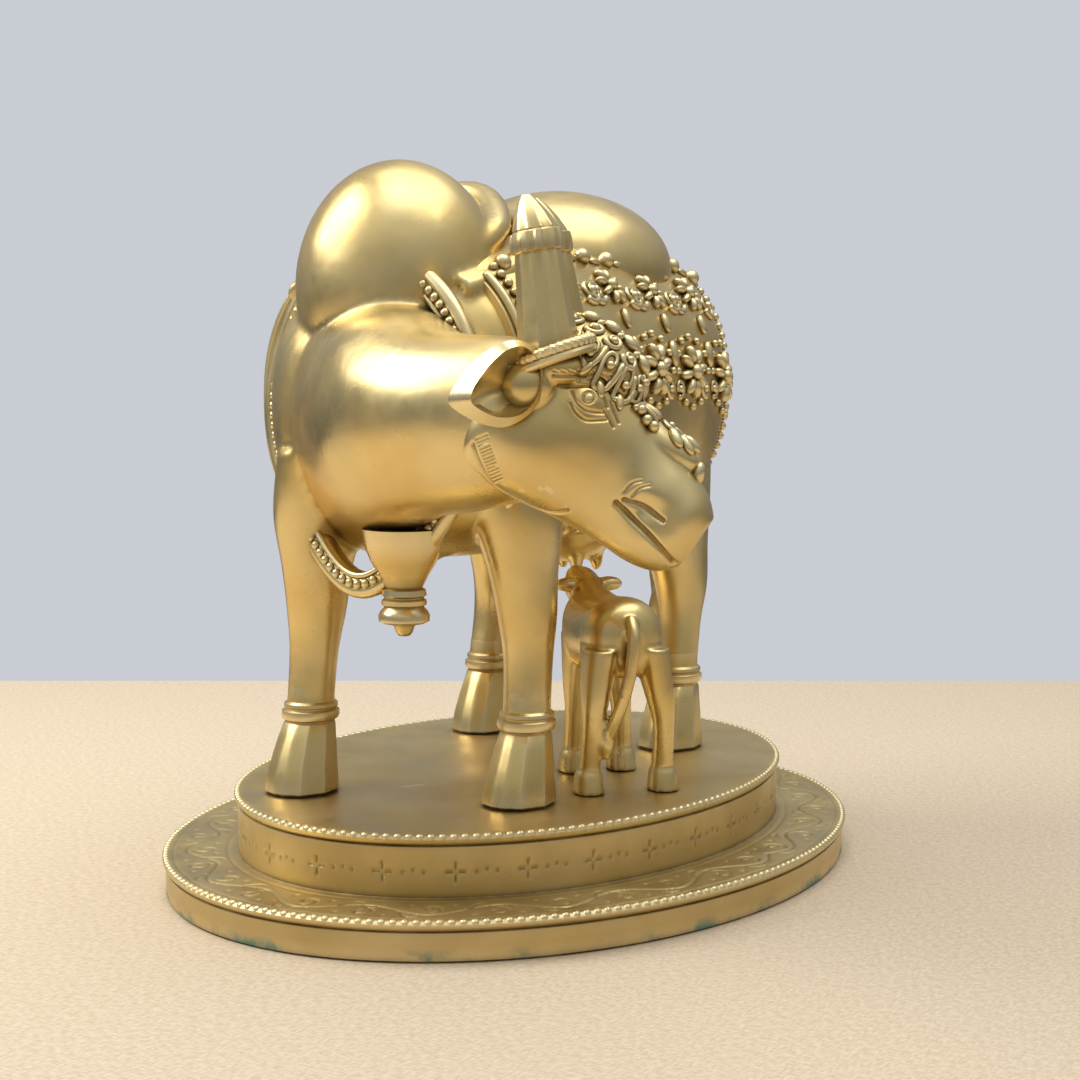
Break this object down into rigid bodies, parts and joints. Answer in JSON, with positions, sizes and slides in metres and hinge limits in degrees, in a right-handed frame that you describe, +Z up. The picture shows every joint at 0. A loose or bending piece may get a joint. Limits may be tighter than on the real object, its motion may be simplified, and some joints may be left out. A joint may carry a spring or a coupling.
{
  "type": "cow and calf idol",
  "caption": "Cast brass figure of a garlanded cow turning her head to a suckling calf, on an oval stepped plinth with beaded rims.",
  "frame": {"origin": "centre of the plinth's underside", "axes": "+Z up; the cow's body lies along Y with her chest towards -Y, and her head is turned to her left, over +X"},
  "size_m": [0.159, 0.193, 0.1646],
  "materials": {
    "plinth_brass": "dull satin brass, darker in the engraved lines, with green corrosion along the lower edge",
    "figure_brass": "satin polished brass with file marks, dark brown in the recesses"
  },
  "bodies": {
    "root": {"plinth": "plinth_brass", "cow": "figure_brass", "calf": "figure_brass"}
  },
  "joints": []
}
